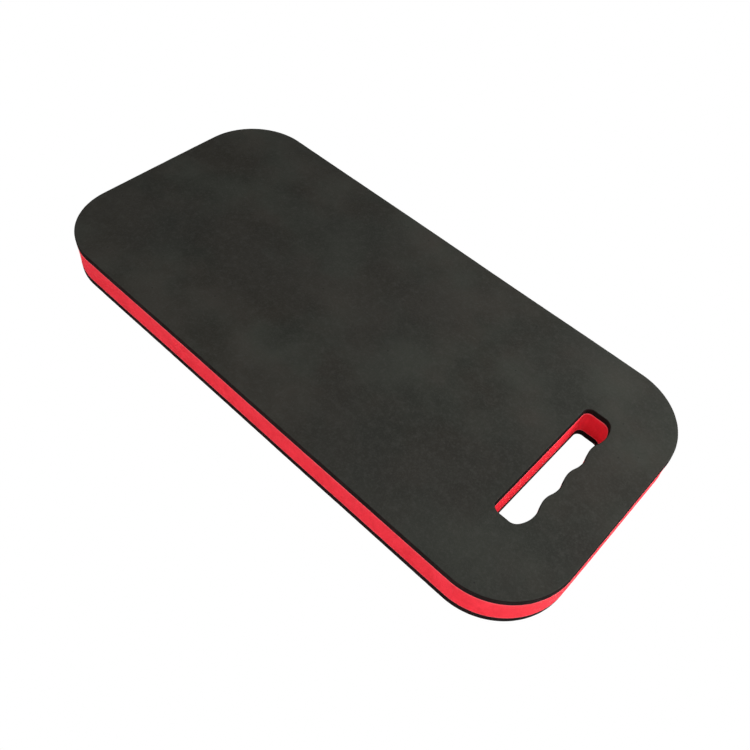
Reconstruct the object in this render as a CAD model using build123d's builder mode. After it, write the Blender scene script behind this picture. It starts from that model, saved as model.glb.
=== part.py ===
from build123d import *
import os

# A foam kneeling pad: a thick soft core between two thin firm skins, held together by
# two films of adhesive. The five layers are cut together by one die, so they share one
# outline and one hand slot. +X runs along the pad to the end with the hand slot, +Y runs
# across it, and +Z is up from the underside. The origin is the middle of the underside.

# Outline of the pad, in millimetres
pad_length = 450.0
pad_width = 213.0
pad_corner_radius = 51.0

# Layers, in millimetres
pad_thickness = 30.0
skin_thickness = 5.0
bond_thickness = 0.2
core_thickness = pad_thickness - 2 * (skin_thickness + bond_thickness)

# Rounding of the two outer faces' edges, where the die presses the skin down, in millimetres
rim_radius = 1.0

# Hand slot, in millimetres: its inner side's distance from the origin, its length across
# the pad, and the radius of its two inner corners
slot_inner_x = 163.7
slot_length = 108.5
slot_inner_radius = 5.0

# Finger grip, the slot's outer side, in millimetres: one groove for each finger, with a
# bump between neighbours. The wave swings by the depth to each side of its middle line.
finger_count = 4
finger_pitch = 26.7
finger_depth = 1.2
finger_line_x = 184.6
finger_end_x = 180.8
finger_end_radius = 7.0

# Height of each layer's underside
bottom_skin_z = 0
lower_bond_z = bottom_skin_z + skin_thickness
core_z = lower_bond_z + bond_thickness
upper_bond_z = core_z + core_thickness
top_skin_z = upper_bond_z + bond_thickness

# The wave is a row of equal arcs, each half a pitch long. It starts and ends with a bump,
# and beyond it the two end grooves run out to the slot's ends.
half_wave = finger_pitch / 2
wave_arcs = 2 * finger_count - 3
wave_end_y = wave_arcs * half_wave / 2
slot_end_y = slot_length / 2

os.makedirs("parts", exist_ok=True)

with BuildSketch() as hand_slot:
    with BuildLine():
        for index in range(wave_arcs):
            arc_start = (finger_line_x, -wave_end_y + index * half_wave)
            arc_end = (finger_line_x, -wave_end_y + (index + 1) * half_wave)
            is_bump = index % 2 == 0
            wave_arc = SagittaArc(arc_start, arc_end, finger_depth if is_bump else -finger_depth)
        wave_end = (finger_line_x, wave_end_y)
        groove_end = (finger_end_x, slot_end_y)
        end_groove = TangentArc(wave_end, groove_end, tangent=wave_arc % 1)
        mirror(end_groove, about=Plane.XZ)
        Polyline(
            (finger_end_x, slot_end_y),
            (slot_inner_x, slot_end_y),
            (slot_inner_x, -slot_end_y),
            (finger_end_x, -slot_end_y),
        )
    make_face()
    fillet(hand_slot.vertices().group_by(Axis.X)[0], slot_inner_radius)
    low_grip_end = hand_slot.vertices().group_by(Axis.Y)[0].sort_by(Axis.X)[-1]
    high_grip_end = hand_slot.vertices().group_by(Axis.Y)[-1].sort_by(Axis.X)[-1]
    fillet([low_grip_end, high_grip_end], finger_end_radius)

# The outline that the die cuts, shared by all five layers
with BuildSketch() as cut_outline:
    RectangleRounded(pad_length, pad_width, pad_corner_radius)
    add(hand_slot.sketch, mode=Mode.SUBTRACT)

# Firm skin that lies on the ground
with BuildPart() as bottom_skin:
    with BuildSketch(Plane.XY.offset(bottom_skin_z)):
        add(cut_outline.sketch)
    extrude(amount=skin_thickness)
    fillet(bottom_skin.edges().group_by(Axis.Z)[0], rim_radius)

bottom_skin.part.label = "bottom_skin"
export_step(bottom_skin.part, "parts/bottom_skin.step")

# Adhesive between the bottom skin and the core
with BuildPart() as lower_bond:
    with BuildSketch(Plane.XY.offset(lower_bond_z)):
        add(cut_outline.sketch)
    extrude(amount=bond_thickness)

lower_bond.part.label = "lower_bond"
export_step(lower_bond.part, "parts/lower_bond.step")

# Soft core, which gives the cushioning
with BuildPart() as core:
    with BuildSketch(Plane.XY.offset(core_z)):
        add(cut_outline.sketch)
    extrude(amount=core_thickness)

core.part.label = "core"
export_step(core.part, "parts/core.step")

# Adhesive between the core and the top skin
with BuildPart() as upper_bond:
    with BuildSketch(Plane.XY.offset(upper_bond_z)):
        add(cut_outline.sketch)
    extrude(amount=bond_thickness)

upper_bond.part.label = "upper_bond"
export_step(upper_bond.part, "parts/upper_bond.step")

# Firm skin that is knelt on
with BuildPart() as top_skin:
    with BuildSketch(Plane.XY.offset(top_skin_z)):
        add(cut_outline.sketch)
    extrude(amount=skin_thickness)
    fillet(top_skin.edges().group_by(Axis.Z)[-1], rim_radius)

top_skin.part.label = "top_skin"
export_step(top_skin.part, "parts/top_skin.step")
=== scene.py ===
import math

import bpy
import numpy as np
from mathutils import Matrix, Vector, noise
from mathutils.geometry import delaunay_2d_cdt


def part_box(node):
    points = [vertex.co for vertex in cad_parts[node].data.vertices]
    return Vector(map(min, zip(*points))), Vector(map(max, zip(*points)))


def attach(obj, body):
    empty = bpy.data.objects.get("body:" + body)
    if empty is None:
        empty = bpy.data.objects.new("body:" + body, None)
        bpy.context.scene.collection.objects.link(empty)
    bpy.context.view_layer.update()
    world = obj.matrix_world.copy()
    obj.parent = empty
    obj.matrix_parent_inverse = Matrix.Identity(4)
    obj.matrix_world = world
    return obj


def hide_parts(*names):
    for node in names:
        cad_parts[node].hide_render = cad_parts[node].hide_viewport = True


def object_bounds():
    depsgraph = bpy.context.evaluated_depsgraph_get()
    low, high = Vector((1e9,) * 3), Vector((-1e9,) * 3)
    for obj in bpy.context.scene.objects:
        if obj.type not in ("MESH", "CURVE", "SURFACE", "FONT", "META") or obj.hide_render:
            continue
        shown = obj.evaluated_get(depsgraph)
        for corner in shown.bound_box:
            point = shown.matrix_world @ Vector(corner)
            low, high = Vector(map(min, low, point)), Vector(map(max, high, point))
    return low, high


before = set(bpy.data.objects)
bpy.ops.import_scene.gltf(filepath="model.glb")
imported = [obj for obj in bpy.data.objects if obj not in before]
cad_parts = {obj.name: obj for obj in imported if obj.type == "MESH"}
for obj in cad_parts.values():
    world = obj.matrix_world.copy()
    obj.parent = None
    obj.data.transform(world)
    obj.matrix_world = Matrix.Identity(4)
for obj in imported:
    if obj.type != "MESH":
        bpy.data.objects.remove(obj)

# A foam kneeling pad of five layers: skin, adhesive, core, adhesive, skin. One die cuts
# them all, so every layer's wall follows the same outline and the same hand slot.
# Lengths are in metres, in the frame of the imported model: +X to the hand slot, +Z up.

MM = 0.001
QUARTER_TURN = math.pi / 2

# ---- sizes ------------------------------------------------------------------------------

CAD_LOW, CAD_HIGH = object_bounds()
PAD_LENGTH = CAD_HIGH.x - CAD_LOW.x
PAD_WIDTH = CAD_HIGH.y - CAD_LOW.y
PAD_THICKNESS = CAD_HIGH.z - CAD_LOW.z
PAD_CORNER_RADIUS = 51 * MM
CORE_LOW, CORE_HIGH = (corner.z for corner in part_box("core"))
LOWER_SKIN_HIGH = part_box("bottom_skin")[1].z

# The hand slot
SLOT_INNER_X = 163.7 * MM
SLOT_END_Y = 54.25 * MM
SLOT_INNER_RADIUS = 5 * MM
SLOT_PULL = 0.5 * MM        # how far its end at -Y is drawn in, which makes it that much shorter

# The finger grip, which is the slot's side at +X: a wave, and a longer groove at each end.
# The groove at +Y starts where the wave ends, and the one at -Y a little nearer the middle.
FINGER_COUNT = 4
FINGER_PITCH = 26.7 * MM
FINGER_DEPTH = 1.2 * MM
FINGER_LINE_X = 184.6 * MM
FINGER_END_RADIUS = 7 * MM
HIGH_GROOVE_END_X = 180.8 * MM
LOW_GROOVE_START_Y = 32.3 * MM
LOW_GROOVE_END_X = 179.8 * MM

# The shape of a die-cut edge. A rounding is its width in from the wall, its drop, and its steps.
UPPER_RIM = (0.8 * MM, 0.6 * MM, 6)
LOWER_RIM = (0.4 * MM, 0.4 * MM, 4)
SEAM = (0.25 * MM, 0.25 * MM, 3)
RIM_MARGIN = 0.5 * MM       # flat strip that runs along every rounding
FILM_INSET = 0.5 * MM       # how deep the adhesive lies in its seam, on average
DISH_DEPTH = 0.3 * MM       # how far the middle of the soft core's wall springs back into the foam
CUT_SPREAD = 0.15 * MM      # how far the foam spreads beyond the die's line once it is cut

# Walls that face +X lean: how far inside the die's line they lie, at four heights. The
# power keeps the lean off walls that face other ways.
LEAN_HEIGHTS = (LOWER_SKIN_HIGH, CORE_LOW, CORE_HIGH, PAD_THICKNESS)
PAD_LEAN = (0.0, -0.3 * MM, 0.0, 0.5 * MM)
SLOT_LEAN = (-0.35 * MM, -0.3 * MM, 0.0, 0.5 * MM)
LEAN_POWER = 4

# Unevenness of real foam: how far it strays each way, over about what length, and its seed
SWELL = (0.2 * MM, 70 * MM, 0.4)            # slow rise and fall of the upper face
RIPPLE = (0.05 * MM, 18 * MM, 7.9)          # shorter waves on the swell
WANDER = (0.25 * MM, 90 * MM, 3.7)          # the cut line, from the die's line
CHATTER = (0.06 * MM, 4 * MM, 8.1)          # upright scores that the blade leaves in the wall
FILM_DRIFT = (0.25 * MM, 12 * MM, 5.3)      # the adhesive, from its average depth

# Mesh spacing
OUTLINE_STEP = 1.2 * MM
SLOT_STEP = 0.8 * MM
WALL_STEP = 0.9 * MM
FACE_STEP = 5 * MM
FACE_INSET = 4 * MM                 # where the walls' rows end and the faces' triangles start
FACE_JITTER = 0.1 * FACE_STEP       # keeps the triangles from lining up
JITTER_SEEDS = (1.9, 6.2)
FACE_CLEARANCE = 0.6 * FACE_STEP    # least distance from a face's inner points to its edges
MERGE_DISTANCE = 1e-9
MOULDED_STRIPS = 5                  # strips beside an outer face that have its moulded skin


# ---- the two cut lines --------------------------------------------------------------------

def line(start, end):
    """A straight stretch of a cut line: its function from a share to a point, and its length."""
    start, end = np.array(start, float), np.array(end, float)
    return (lambda t: start + t * (end - start)), np.linalg.norm(end - start)


def arc(centre, radius, start_angle, end_angle):
    """A round stretch of a cut line, anticlockwise where end_angle is the larger."""
    centre = np.array(centre, float)
    turn = end_angle - start_angle

    def point(t):
        angle = start_angle + t * turn
        return centre + radius * np.array([math.cos(angle), math.sin(angle)])

    return point, abs(turn) * radius


def pad_stretches():
    """The pad's outline, anticlockwise: a rectangle with round corners."""
    corner_x = PAD_LENGTH / 2 - PAD_CORNER_RADIUS
    corner_y = PAD_WIDTH / 2 - PAD_CORNER_RADIUS
    centres = [
        (corner_x, -corner_y),
        (corner_x, corner_y),
        (-corner_x, corner_y),
        (-corner_x, -corner_y),
    ]
    corners = [
        arc(centre, PAD_CORNER_RADIUS, (i - 1) * QUARTER_TURN, i * QUARTER_TURN)
        for i, centre in enumerate(centres)
    ]
    stretches = []
    for corner, next_corner in zip(corners, corners[1:] + corners[:1]):
        stretches += [corner, line(corner[0](1), next_corner[0](0))]
    return stretches


def end_groove(start_y, end_x, wave_angle):
    """The finger grip's last groove at +Y, and the slot's corner after it.

    The groove starts at start_y on the finger line, at the wave's angle, and would reach the
    slot's end at end_x. Returns its centre, its radius, the corner's centre, and the angle at
    which the two arcs meet."""
    start = np.array([FINGER_LINE_X, start_y])
    to_centre = np.array([-math.cos(wave_angle), math.sin(wave_angle)])
    reach = np.array([end_x, SLOT_END_Y]) - start
    radius = reach @ reach / (2 * to_centre @ reach)
    centre = start + radius * to_centre

    # The corner's arc touches the groove from inside, and the slot's end line
    corner_y = SLOT_END_Y - FINGER_END_RADIUS
    corner_reach = radius - FINGER_END_RADIUS
    touch_angle = math.asin((corner_y - centre[1]) / corner_reach)
    corner_x = centre[0] + corner_reach * math.cos(touch_angle)
    return centre, radius, (corner_x, corner_y), touch_angle


def slot_stretches():
    """The hand slot, anticlockwise: a straight inner side, round corners and the finger grip."""
    quarter_pitch = FINGER_PITCH / 4
    wave_radius = (quarter_pitch**2 + FINGER_DEPTH**2) / (2 * FINGER_DEPTH)
    wave_angle = math.asin(quarter_pitch / wave_radius)
    arc_count = 2 * FINGER_COUNT - 3
    wave_end_y = arc_count * quarter_pitch
    inner_x = SLOT_INNER_X + SLOT_INNER_RADIUS
    inner_y = SLOT_END_Y - SLOT_INNER_RADIUS

    # The end at -Y is worked out as if it were at +Y, and mirrored here
    groove, radius, corner, touch_angle = end_groove(LOW_GROOVE_START_Y, LOW_GROOVE_END_X, wave_angle)
    stretches = [
        line((SLOT_INNER_X, inner_y), (SLOT_INNER_X, -inner_y)),
        arc((inner_x, -inner_y), SLOT_INNER_RADIUS, 2 * QUARTER_TURN, 3 * QUARTER_TURN),
        line((inner_x, -SLOT_END_Y), (corner[0], -SLOT_END_Y)),
        arc((corner[0], -corner[1]), FINGER_END_RADIUS, -QUARTER_TURN, -touch_angle),
        arc((groove[0], -groove[1]), radius, -touch_angle, wave_angle),
    ]

    # Bumps and hollows in turn, each an arc that meets its neighbours at the same angle
    wave_ys = [-wave_end_y + 2 * quarter_pitch * i for i in range(arc_count + 1)]
    wave_ys[0] = -LOW_GROOVE_START_Y
    for index, (low_y, high_y) in enumerate(zip(wave_ys, wave_ys[1:])):
        middle_y = (low_y + high_y) / 2
        arc_radius = (high_y - low_y) / 2 / math.sin(wave_angle)
        to_centre = arc_radius * math.cos(wave_angle)
        if index % 2 == 0:
            centre = (FINGER_LINE_X + to_centre, middle_y)
            stretches.append(arc(centre, arc_radius, math.pi + wave_angle, math.pi - wave_angle))
        else:
            centre = (FINGER_LINE_X - to_centre, middle_y)
            stretches.append(arc(centre, arc_radius, -wave_angle, wave_angle))

    groove, radius, corner, touch_angle = end_groove(wave_end_y, HIGH_GROOVE_END_X, wave_angle)
    stretches += [
        arc(groove, radius, -wave_angle, touch_angle),
        arc(corner, FINGER_END_RADIUS, touch_angle, QUARTER_TURN),
        line((corner[0], SLOT_END_Y), (inner_x, SLOT_END_Y)),
        arc((inner_x, inner_y), SLOT_INNER_RADIUS, QUARTER_TURN, 2 * QUARTER_TURN),
    ]
    return stretches


def uneven(points, size, length, seed):
    """Smooth noise up to about that size each way at each point, which changes over that length."""
    return size * np.array([noise.noise(Vector((x / length, y / length, seed))) for x, y in points])


class Cut:
    """One closed cut line: its points, and how each layer's rows of points follow it."""

    def __init__(self, stretches, step, foam_side, lean, pull=0):
        """foam_side is -1 if the foam lies to the left of the line, and 1 if it lies to the right.

        The line's end at -Y is drawn in by pull, and its other points follow by their share."""
        points = []
        for point, length in stretches:
            count = max(2, round(length / step))
            points += [point(i / count) for i in range(count)]
        self.points = np.array(points)
        y = self.points[:, 1]
        self.points[:, 1] += pull * (y.max() - y) / (y.max() - y.min())
        along = np.roll(self.points, -1, axis=0) - np.roll(self.points, 1, axis=0)
        along /= np.linalg.norm(along, axis=1)[:, None]
        self.into_foam = foam_side * np.stack([along[:, 1], -along[:, 0]], axis=1)
        self.stray = uneven(self.points, *WANDER) + uneven(self.points, *CHATTER)
        self.film_drift = uneven(self.points, *FILM_DRIFT)
        self.lean = lean
        self.facing_x = np.maximum(0.0, -self.into_foam[:, 0]) ** LEAN_POWER

    def row(self, inset, height, film_share=0):
        """The line moved into the foam by inset. The wall's dish, lean and strays fade to FACE_INSET."""
        fade = 1 - inset / FACE_INSET
        lean = self.facing_x * np.interp(height, LEAN_HEIGHTS, self.lean)
        strays = self.stray + film_share * self.film_drift
        moved = inset + fade * (dish(height) - CUT_SPREAD + lean + strays)
        return self.points + self.into_foam * moved[:, None]


# ---- rows of points round an edge, as (inset, height) ---------------------------------------

def dish(height):
    """How far a cut wall lies inside the die's line at that height. Only the soft core springs back."""
    share = min(1.0, max(0.0, (height - CORE_LOW) / (CORE_HIGH - CORE_LOW)))
    return DISH_DEPTH * 4 * share * (1 - share)


def rounded(face_z, side, width, drop, steps):
    """Rows from a flat face out to its wall. side is 1 on an upper face and -1 on a lower one."""
    rows = [(FACE_INSET, face_z), (width + RIM_MARGIN, face_z)]
    for i in range(steps + 1):
        angle = QUARTER_TURN * i / steps
        rows.append((width * (1 - math.sin(angle)), face_z - side * drop * (1 - math.cos(angle))))
    return rows


def profile(low_z, high_z, low_edge, high_edge):
    """Rows from the lower face's middle, out, up the wall and back in, round its two edges."""
    low_rows = rounded(low_z, -1, *low_edge)
    high_rows = rounded(high_z, 1, *high_edge)
    wall_low, wall_high = low_rows[-1][1], high_rows[-1][1]
    count = max(1, round((wall_high - wall_low) / WALL_STEP))
    wall = [(0.0, wall_low + (wall_high - wall_low) * i / count) for i in range(1, count)]
    return low_rows + wall + high_rows[::-1]


# ---- the faces' triangles --------------------------------------------------------------------

def inside(points, loop):
    """For each point, whether it lies inside the closed loop."""
    ahead = np.roll(loop, -1, axis=0)
    x, y = points[:, :1], points[:, 1:]
    spans = (loop[:, 1] > y) != (ahead[:, 1] > y)
    run = np.where(loop[:, 1] == ahead[:, 1], 1.0, ahead[:, 1] - loop[:, 1])
    crossing = loop[:, 0] + (y - loop[:, 1]) * (ahead[:, 0] - loop[:, 0]) / run
    return np.count_nonzero(spans & (crossing > x), axis=1) % 2 == 1


def on_face(points, outer, hole):
    """For each point, whether it lies inside the outer loop and clear of the hole."""
    return inside(points, outer) & ~inside(points, hole)


def inner_points(outer, hole):
    """Points spread evenly over a face, a little off a regular grid, and clear of its edges."""
    low, high = outer.min(axis=0), outer.max(axis=0)
    row_step = FACE_STEP * math.sqrt(3) / 2
    grid = []
    for row in range(int((high[1] - low[1]) / row_step) + 1):
        start = low[0] + FACE_STEP / 2 * (row % 2)
        grid += [(x, low[1] + row * row_step) for x in np.arange(start, high[0], FACE_STEP)]
    grid = np.array(grid)
    grid += np.stack([uneven(grid, FACE_JITTER, FACE_STEP, seed) for seed in JITTER_SEEDS], axis=1)
    grid = grid[on_face(grid, outer, hole)]
    rim = np.vstack([outer, hole])
    gap = np.array([np.min(np.sum((rim - point) ** 2, axis=1)) for point in grid])
    return grid[gap > FACE_CLEARANCE**2]


def face_triangles(outer, hole, inner):
    """A face's anticlockwise triangles, which number its outer, hole and inner points in turn."""
    points = np.vstack([outer, hole, inner])
    edges = []
    first = 0
    for loop in (outer, hole):
        edges += [(first + i, first + (i + 1) % len(loop)) for i in range(len(loop))]
        first += len(loop)
    whole_plane = 0
    found = delaunay_2d_cdt([Vector(p) for p in points], edges, [], whole_plane, MERGE_DISTANCE)
    source = [min(group) for group in found[3]]
    triangles = np.array([[source[i] for i in triangle] for triangle in found[2]])
    triangles = triangles[on_face(points[triangles].mean(axis=1), outer, hole)]
    a, b, c = (points[triangles[:, i]] for i in range(3))
    area = (b[:, 0] - a[:, 0]) * (c[:, 1] - a[:, 1]) - (b[:, 1] - a[:, 1]) * (c[:, 0] - a[:, 0])
    triangles[area < 0] = triangles[area < 0][:, ::-1]
    return triangles


PAD_CUT = Cut(pad_stretches(), OUTLINE_STEP, -1, PAD_LEAN)
SLOT_CUT = Cut(slot_stretches(), SLOT_STEP, 1, SLOT_LEAN, SLOT_PULL)
FACE_OUTER = PAD_CUT.row(FACE_INSET, 0.0)
FACE_HOLE = SLOT_CUT.row(FACE_INSET, 0.0)
FACE_INNER = inner_points(FACE_OUTER, FACE_HOLE)
FACE_TRIANGLES = face_triangles(FACE_OUTER, FACE_HOLE, FACE_INNER)


# ---- the layers --------------------------------------------------------------------------------

def lifted(points, height):
    """Points of a level with the foam's slow swell, which grows from nothing at the underside."""
    swell = uneven(points, *SWELL) + uneven(points, *RIPPLE)
    return np.column_stack([points, height * (1 + swell / PAD_THICKNESS)])


def strips(first, count, rows, outward):
    """Quads between neighbouring closed rows, numbered from first on, and the lower row of each quad."""
    quads, starts = [], []
    for row in range(rows - 1):
        for i in range(count):
            a = first + row * count + i
            b = first + row * count + (i + 1) % count
            quads.append((a, b, b + count, a + count) if outward else (a, a + count, b + count, b))
            starts.append(row)
    return quads, starts


def layer(node, rows, materials, kind_of_row, film_share=0):
    """One closed layer that stands for a CAD node. kind_of_row gives a strip's material by its row."""
    cuts = (PAD_CUT, SLOT_CUT)
    levels = [lifted(cut.row(inset, z, film_share), z) for cut in cuts for inset, z in rows]
    levels += [lifted(FACE_INNER, rows[0][1]), lifted(FACE_INNER, rows[-1][1])]
    outer_count, hole_count, inner_count = len(PAD_CUT.points), len(SLOT_CUT.points), len(FACE_INNER)
    hole_first = outer_count * len(rows)
    inner_first = hole_first + hole_count * len(rows)

    outer_quads, outer_starts = strips(0, outer_count, len(rows), True)
    hole_quads, hole_starts = strips(hole_first, hole_count, len(rows), False)

    def face(row, inner_start):
        """The shared triangles, numbered for the face that ends this row."""
        numbers = np.concatenate([
            np.arange(outer_count) + row * outer_count,
            np.arange(hole_count) + hole_first + row * hole_count,
            np.arange(inner_count) + inner_start,
        ])
        return numbers[FACE_TRIANGLES]

    lower = face(0, inner_first)[:, ::-1].tolist()
    upper = face(len(rows) - 1, inner_first + inner_count).tolist()

    mesh = bpy.data.meshes.new(node + "_foam")
    mesh.from_pydata(np.vstack(levels).tolist(), [], outer_quads + hole_quads + lower + upper)
    kinds = [kind_of_row(row) for row in outer_starts + hole_starts]
    kinds += [kind_of_row(0)] * len(lower) + [kind_of_row(len(rows) - 2)] * len(upper)
    for material in materials:
        mesh.materials.append(material)
    mesh.polygons.foreach_set("material_index", kinds)
    mesh.polygons.foreach_set("use_smooth", [True] * len(kinds))
    mesh.update()

    piece = bpy.data.objects.new(node + "_foam", mesh)
    bpy.context.collection.objects.link(piece)
    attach(piece, "root")
    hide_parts(node)
    return piece


# ---- materials -----------------------------------------------------------------------------------

class Surface:
    """Builds one procedural material. Textures use the object's own coordinates, in metres."""

    def __init__(self, name, roughness, specular):
        self.material = bpy.data.materials.new(name)
        self.material.use_nodes = True
        self.tree = self.material.node_tree
        self.shader = self.tree.nodes["Principled BSDF"]
        self.shader.inputs["Roughness"].default_value = roughness
        self.shader.inputs["Specular IOR Level"].default_value = specular
        self.place = self.add("ShaderNodeTexCoord").outputs["Object"]

    def feed(self, socket, value):
        """Joins an input to another node's output, or sets it to a number, vector or colour."""
        if isinstance(value, bpy.types.NodeSocket):
            self.tree.links.new(value, socket)
        else:
            socket.default_value = value

    def add(self, kind, inputs=None, **settings):
        """A new node with its settings and its inputs."""
        node = self.tree.nodes.new(kind)
        for name, value in settings.items():
            setattr(node, name, value)
        for name, value in (inputs or {}).items():
            self.feed(node.inputs[name], value)
        return node

    def stretched(self, x, y, z, shift=0.0):
        """Object coordinates scaled along each axis, which draws a texture out where the scale is small."""
        inputs = {"Vector": self.place, "Scale": (x, y, z), "Location": (shift, shift, shift)}
        return self.add("ShaderNodeMapping", inputs).outputs["Vector"]

    def noise(self, size, detail=2.0, rough=0.5, place=None, shift=0.0):
        """Smooth noise from 0 to 1 with features of about that size."""
        place = place or self.stretched(1, 1, 1, shift)
        inputs = {"Vector": place, "Scale": 1 / size, "Detail": detail, "Roughness": rough}
        return self.add("ShaderNodeTexNoise", inputs).outputs["Fac"]

    def cells(self, size):
        """Distance from the nearest of many scattered points, and each point's random colour."""
        node = self.add("ShaderNodeTexVoronoi", {"Vector": self.place, "Scale": 1 / size})
        return node.outputs["Distance"], node.outputs["Color"]

    def along(self, axis):
        """The object's own coordinate along one axis."""
        return self.add("ShaderNodeSeparateXYZ", {"Vector": self.place}).outputs[axis]

    def spread(self, value, low, high, to_low=0.0, to_high=1.0):
        """The value's range from low to high, spread smoothly over another range."""
        inputs = {"Value": value, "From Min": low, "From Max": high, "To Min": to_low, "To Max": to_high}
        return self.add("ShaderNodeMapRange", inputs, interpolation_type="SMOOTHSTEP").outputs["Result"]

    def math(self, operation, first, second=0.0):
        """A sum, a product and the like. An absolute value takes only the first."""
        node = self.add("ShaderNodeMath", operation=operation)
        self.feed(node.inputs[0], first)
        self.feed(node.inputs[1], second)
        return node.outputs[0]

    def blend(self, share, first, second):
        """Two colours mixed by a share from 0 to 1."""
        node = self.add("ShaderNodeMix", data_type="RGBA")
        share_input, first_input, second_input = node.inputs[0], node.inputs[6], node.inputs[7]
        self.feed(share_input, share)
        for socket, colour in ((first_input, first), (second_input, second)):
            self.feed(socket, (*colour, 1.0) if isinstance(colour, tuple) else colour)
        return node.outputs[2]

    def bump(self, height, depth, below=None):
        """A normal bent by a height from 0 to 1 that stands for that depth, over the one below."""
        inputs = {"Height": height, "Distance": depth, "Strength": 1.0}
        if below is not None:
            inputs["Normal"] = below
        return self.add("ShaderNodeBump", inputs).outputs["Normal"]

    def finish(self, colour, roughness, normal):
        for name, value in (("Base Color", colour), ("Roughness", roughness), ("Normal", normal)):
            self.tree.links.new(value, self.shader.inputs[name])
        return self.material


def skin_face():
    """Moulded face of the black skins: matte and finely grained, with faint clouds and dark specks.

    The clouds are cool in some places and warm in others. The long edges are painted slightly paler, as
    painted light that brightens the face towards them."""
    s = Surface("black_foam_face", 0.8, 0.15)
    broad = s.noise(110 * MM, 2.0, 0.5, shift=2.3)
    clouds = s.noise(46 * MM, 5.0, 0.56, shift=0.3)
    warmth = s.noise(70 * MM, 3.0, 0.6, shift=0.7)
    mottle = s.noise(5 * MM, 3.0, 0.6, shift=0.5)
    grain = s.noise(1.6 * MM, 4.0, 0.75)
    fine = s.noise(0.35 * MM, 2.0, 0.6, shift=0.2)

    cloud_share = s.spread(clouds, 0.3, 0.7)
    cool = s.blend(cloud_share, (0.0091, 0.0101, 0.0072), (0.0204, 0.0220, 0.0174))
    warm = s.blend(cloud_share, (0.0105, 0.0093, 0.0064), (0.0223, 0.0203, 0.0162))
    colour = s.blend(s.spread(warmth, 0.38, 0.62), cool, warm)
    colour = s.blend(s.spread(broad, 0.3, 0.65, 0.5, 0.0), colour, (0.0085, 0.0085, 0.0070))
    # Painted light: the face is made paler towards its long edges, for how the light falls there
    from_middle = s.math("ABSOLUTE", s.along("Y"))
    edge_light_share = s.spread(from_middle, 30 * MM, 120 * MM, 0.0, 0.07)
    colour = s.blend(edge_light_share, colour, (0.0400, 0.0400, 0.0350))
    colour = s.blend(s.spread(mottle, 0.45, 0.75, 0.0, 0.36), colour, (0.0255, 0.0255, 0.0220))
    colour = s.blend(s.spread(grain, 0.45, 0.75, 0.0, 0.36), colour, (0.034, 0.034, 0.030))
    colour = s.blend(s.spread(fine, 0.5, 0.8, 0.0, 0.3), colour, (0.036, 0.036, 0.032))

    # Only some of the scattered points, picked by their random colour, show a speck
    distance, tint = s.cells(9 * MM)
    picked = s.spread(tint, 0.5, 0.6, 0.0, 0.7)
    speck = s.math("MULTIPLY", s.spread(distance, 0.03, 0.08, 1.0, 0.0), picked)
    colour = s.blend(speck, colour, (0.004, 0.004, 0.004))

    pores, _ = s.cells(0.55 * MM)
    relief = s.math("ADD", s.math("MULTIPLY", grain, 0.5), s.math("MULTIPLY", fine, 0.5))
    normal = s.bump(relief, 0.11 * MM)
    normal = s.bump(s.spread(pores, 0.05, 0.35), 0.06 * MM, normal)
    roughness = s.spread(clouds, 0.25, 0.75, 0.72, 0.88)
    return s.finish(colour, roughness, normal)


def skin_cut():
    """Die-cut edge of the black skins: open cells, darker than the face, scored upright by the blade."""
    s = Surface("black_foam_cut", 0.9, 0.04)
    scores = s.noise(0.8 * MM, 3.0, 0.6, place=s.stretched(1, 1, 0.12))
    grain = s.noise(0.5 * MM, 3.0, 0.7)
    clouds = s.noise(14 * MM, 3.0, 0.6)
    colour = s.blend(s.spread(clouds, 0.3, 0.7), (0.0075, 0.0044, 0.0043), (0.0137, 0.0080, 0.0078))
    colour = s.blend(s.spread(grain, 0.5, 0.8, 0.0, 0.6), colour, (0.021, 0.0135, 0.0130))
    pores, _ = s.cells(0.5 * MM)
    normal = s.bump(scores, 0.10 * MM)
    normal = s.bump(s.spread(pores, 0.05, 0.4), 0.08 * MM, normal)
    roughness = s.spread(grain, 0.3, 0.7, 0.85, 0.97)
    return s.finish(colour, roughness, normal)


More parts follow.
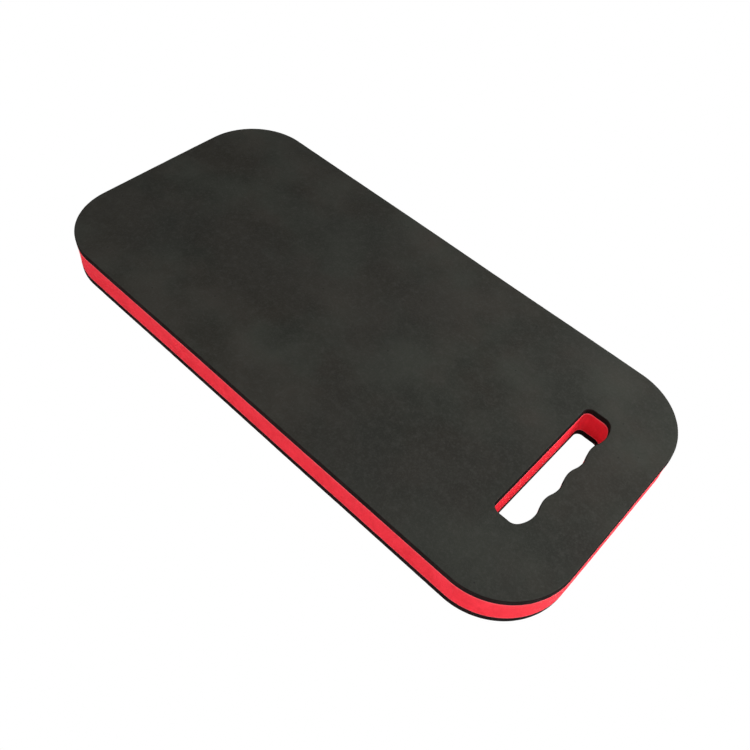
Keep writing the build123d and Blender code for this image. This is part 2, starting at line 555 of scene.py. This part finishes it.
def core_foam():
    """Die-cut red core: matte open cells, soft darker patches, pale flecks, dark pores, upright scores.

    The two lips beside its seams are painted paler, a painted highlight where their edges catch the light."""
    s = Surface("red_foam_cut", 0.85, 0.2)
    scores = s.noise(1.4 * MM, 3.0, 0.6, place=s.stretched(1, 1, 0.08))
    clouds = s.noise(22 * MM, 3.0, 0.6)
    patches = s.noise(7 * MM, 2.0, 0.5, shift=0.6)
    flecks = s.noise(0.9 * MM, 3.0, 0.75)
    fine = s.noise(0.4 * MM, 2.0, 0.6, shift=0.2)
    colour = s.blend(s.spread(clouds, 0.3, 0.7), (0.75, 0.017, 0.034), (0.83, 0.024, 0.045))
    colour = s.blend(s.spread(patches, 0.42, 0.7, 0.0, 0.3), colour, (0.60, 0.010, 0.020))
    colour = s.blend(s.spread(scores, 0.4, 0.8, 0.0, 0.3), colour, (0.66, 0.010, 0.022))
    colour = s.blend(s.spread(fine, 0.45, 0.75, 0.0, 0.3), colour, (0.60, 0.010, 0.020))
    colour = s.blend(s.spread(flecks, 0.52, 0.8, 0.0, 0.35), colour, (0.86, 0.06, 0.08))

    # Painted highlight: a pale band along each lip beside the seams
    half = (CORE_HIGH - CORE_LOW) / 2
    from_middle = s.math("ABSOLUTE", s.math("SUBTRACT", s.along("Z"), CORE_LOW + half))
    lip_highlight = s.spread(from_middle, half - 1.0 * MM, half - 0.3 * MM, 0.0, 0.38)
    colour = s.blend(lip_highlight, colour, (0.88, 0.20, 0.22))

    distance, tint = s.cells(1.1 * MM)
    picked = s.spread(tint, 0.45, 0.6, 0.0, 0.35)
    pore = s.math("MULTIPLY", s.spread(distance, 0.08, 0.28, 1.0, 0.0), picked)
    colour = s.blend(pore, colour, (0.42, 0.006, 0.014))

    normal = s.bump(scores, 0.10 * MM)
    normal = s.bump(s.spread(distance, 0.08, 0.45), 0.05 * MM, normal)
    normal = s.bump(s.math("ADD", flecks, s.math("MULTIPLY", fine, 0.5)), 0.05 * MM, normal)
    roughness = s.spread(flecks, 0.3, 0.7, 0.78, 0.93)
    return s.finish(colour, roughness, normal)


def bond_film():
    """Cured contact adhesive: dark, dull, and slightly uneven."""
    s = Surface("bond_film", 0.5, 0.3)
    streaks = s.noise(3 * MM, 3.0, 0.6)
    colour = s.blend(s.spread(streaks, 0.3, 0.7), (0.045, 0.005, 0.005), (0.11, 0.012, 0.012))
    normal = s.bump(streaks, 0.08 * MM)
    roughness = s.spread(streaks, 0.3, 0.7, 0.42, 0.62)
    return s.finish(colour, roughness, normal)


# ---- the pad -------------------------------------------------------------------------------------

def heights(node):
    """The heights of a CAD node's underside and top."""
    low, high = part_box(node)
    return low.z, high.z


def build_pad():
    face, cut, red, film = skin_face(), skin_cut(), core_foam(), bond_film()

    rows = profile(*heights("bottom_skin"), LOWER_RIM, SEAM)
    first_cut = MOULDED_STRIPS
    bottom = layer("bottom_skin", rows, [face, cut], lambda row: int(row >= first_cut))

    rows = profile(*heights("core"), SEAM, SEAM)
    core = layer("core", rows, [red], lambda row: 0)

    rows = profile(*heights("top_skin"), SEAM, UPPER_RIM)
    first_moulded = len(rows) - 1 - MOULDED_STRIPS
    top = layer("top_skin", rows, [face, cut], lambda row: int(row < first_moulded))

    for node in ("lower_bond", "upper_bond"):
        low_z, high_z = heights(node)
        rows = [(FACE_INSET, low_z), (FILM_INSET, low_z), (FILM_INSET, high_z), (FACE_INSET, high_z)]
        layer(node, rows, [film], lambda row: 0, film_share=1)


# ---- floor, light and camera -----------------------------------------------------------------------

FLOOR_DROP = 0.1 * MM           # keeps the floor clear of the pad's underside
FLOOR_GLOW = 1.0
WHITE = (1.0, 1.0, 1.0, 1.0)
BLACK = (0.0, 0.0, 0.0, 1.0)
FLOOR_GREY = (0.8, 0.8, 0.8, 1.0)

# Radius and height of each ring of the backdrop, in metres: a floor that curves up into a dome
BACKDROP_SIDES = 64
BACKDROP_PROFILE = ((3.2, 0.0), (3.8, 0.1), (4.2, 0.5), (4.3, 1.5), (4.0, 2.8), (3.0, 4.0), (1.5, 4.6))

# White surroundings, a high key light beyond the slot's end, a nearer light behind it and a weak
# fill in front: each light's name, place and diameter in metres, and power in watts
SURROUNDINGS = 0.49
LIGHTS = (
    ("key", (0.75, -0.2, 0.95), 0.7, 7.7),
    ("back", (0.50, 0.36, 0.42), 0.35, 5.2),
    ("fill", (-0.2, -1.0, 0.6), 0.8, 4.0),
)

LENS = 37.587                   # mm, on a sensor 36 mm wide
NEAR_CLIP = 10 * MM
VIEW_AZIMUTH = math.radians(36.637)
VIEW_ELEVATION = math.radians(52.004)
VIEW_ROLL = math.radians(8.111)
VIEW_DISTANCE = 566.77 * MM
VIEW_TARGET = Vector((31.98, -13.07, 0.0)) * MM


def studio_sheet(name, rings, height, material):
    """A round sheet of the studio's: a flat middle, then rings with those radii and heights."""
    angles = [2 * math.pi * i / BACKDROP_SIDES for i in range(BACKDROP_SIDES)]
    points = [(r * math.cos(a), r * math.sin(a), height + rise) for r, rise in rings for a in angles]
    faces = [tuple(range(BACKDROP_SIDES))]
    if len(rings) > 1:
        quads, _ = strips(0, BACKDROP_SIDES, len(rings), False)
        roof = tuple(reversed(range(len(points) - BACKDROP_SIDES, len(points))))
        faces += quads + [roof]
    mesh = bpy.data.meshes.new(name)
    mesh.from_pydata(points, [], faces)
    mesh.materials.append(material)
    sheet = bpy.data.objects.new(name, mesh)
    bpy.context.collection.objects.link(sheet)
    return sheet


def build_floor():
    """A pale floor and backdrop that show as plain white, like a product photographer's light tent.

    The camera sees only the glowing sheet. The dull one just under it lights the pad from below."""
    glow = Surface("floor_glow", 1.0, 0.0)
    glow.shader.inputs["Base Color"].default_value = BLACK
    glow.shader.inputs["Emission Color"].default_value = WHITE
    glow.shader.inputs["Emission Strength"].default_value = FLOOR_GLOW
    seen = studio_sheet("floor_seen", BACKDROP_PROFILE, CAD_LOW.z - FLOOR_DROP, glow.material)
    seen.visible_diffuse = False
    seen.visible_glossy = False
    seen.visible_shadow = False

    dull = Surface("floor_dull", 0.9, 0.1)
    dull.shader.inputs["Base Color"].default_value = FLOOR_GREY
    lower = studio_sheet("floor_bounce", BACKDROP_PROFILE[:1], CAD_LOW.z - 2 * FLOOR_DROP, dull.material)
    lower.visible_camera = False


def add_light(name, place, diameter, power):
    """A round soft light that points at the middle of the pad."""
    lamp = bpy.data.lights.new(name, "AREA")
    lamp.shape = "DISK"
    lamp.size = diameter
    lamp.energy = power
    light = bpy.data.objects.new(name, lamp)
    light.location = place
    light.rotation_euler = (-Vector(place)).to_track_quat("-Z", "Y").to_euler()
    bpy.context.collection.objects.link(light)


def build_lights():
    world = bpy.data.worlds.new("studio")
    world.use_nodes = True
    background = world.node_tree.nodes["Background"]
    background.inputs["Color"].default_value = WHITE
    background.inputs["Strength"].default_value = SURROUNDINGS
    bpy.context.scene.world = world
    for light in LIGHTS:
        add_light(*light)


def build_camera():
    """Stands the camera at its azimuth, from -Y towards +X, and rolls it about its line of view."""
    flat = math.cos(VIEW_ELEVATION)
    back = Vector((
        math.sin(VIEW_AZIMUTH) * flat,
        -math.cos(VIEW_AZIMUTH) * flat,
        math.sin(VIEW_ELEVATION),
    ))
    level_right = (-back).cross(Vector((0, 0, 1))).normalized()
    level_up = level_right.cross(-back)
    right = level_right * math.cos(VIEW_ROLL) + level_up * math.sin(VIEW_ROLL)
    up = level_up * math.cos(VIEW_ROLL) - level_right * math.sin(VIEW_ROLL)

    data = bpy.data.cameras.new("camera")
    data.lens = LENS
    data.clip_start = NEAR_CLIP
    camera = bpy.data.objects.new("camera", data)
    place = Matrix.Translation(VIEW_TARGET + back * VIEW_DISTANCE)
    camera.matrix_world = place @ Matrix((right, up, back)).transposed().to_4x4()
    bpy.context.collection.objects.link(camera)
    bpy.context.scene.camera = camera


build_pad()
build_floor()
build_lights()
build_camera()
bpy.context.scene.view_settings.view_transform = "Standard"

bpy.context.view_layer.update()
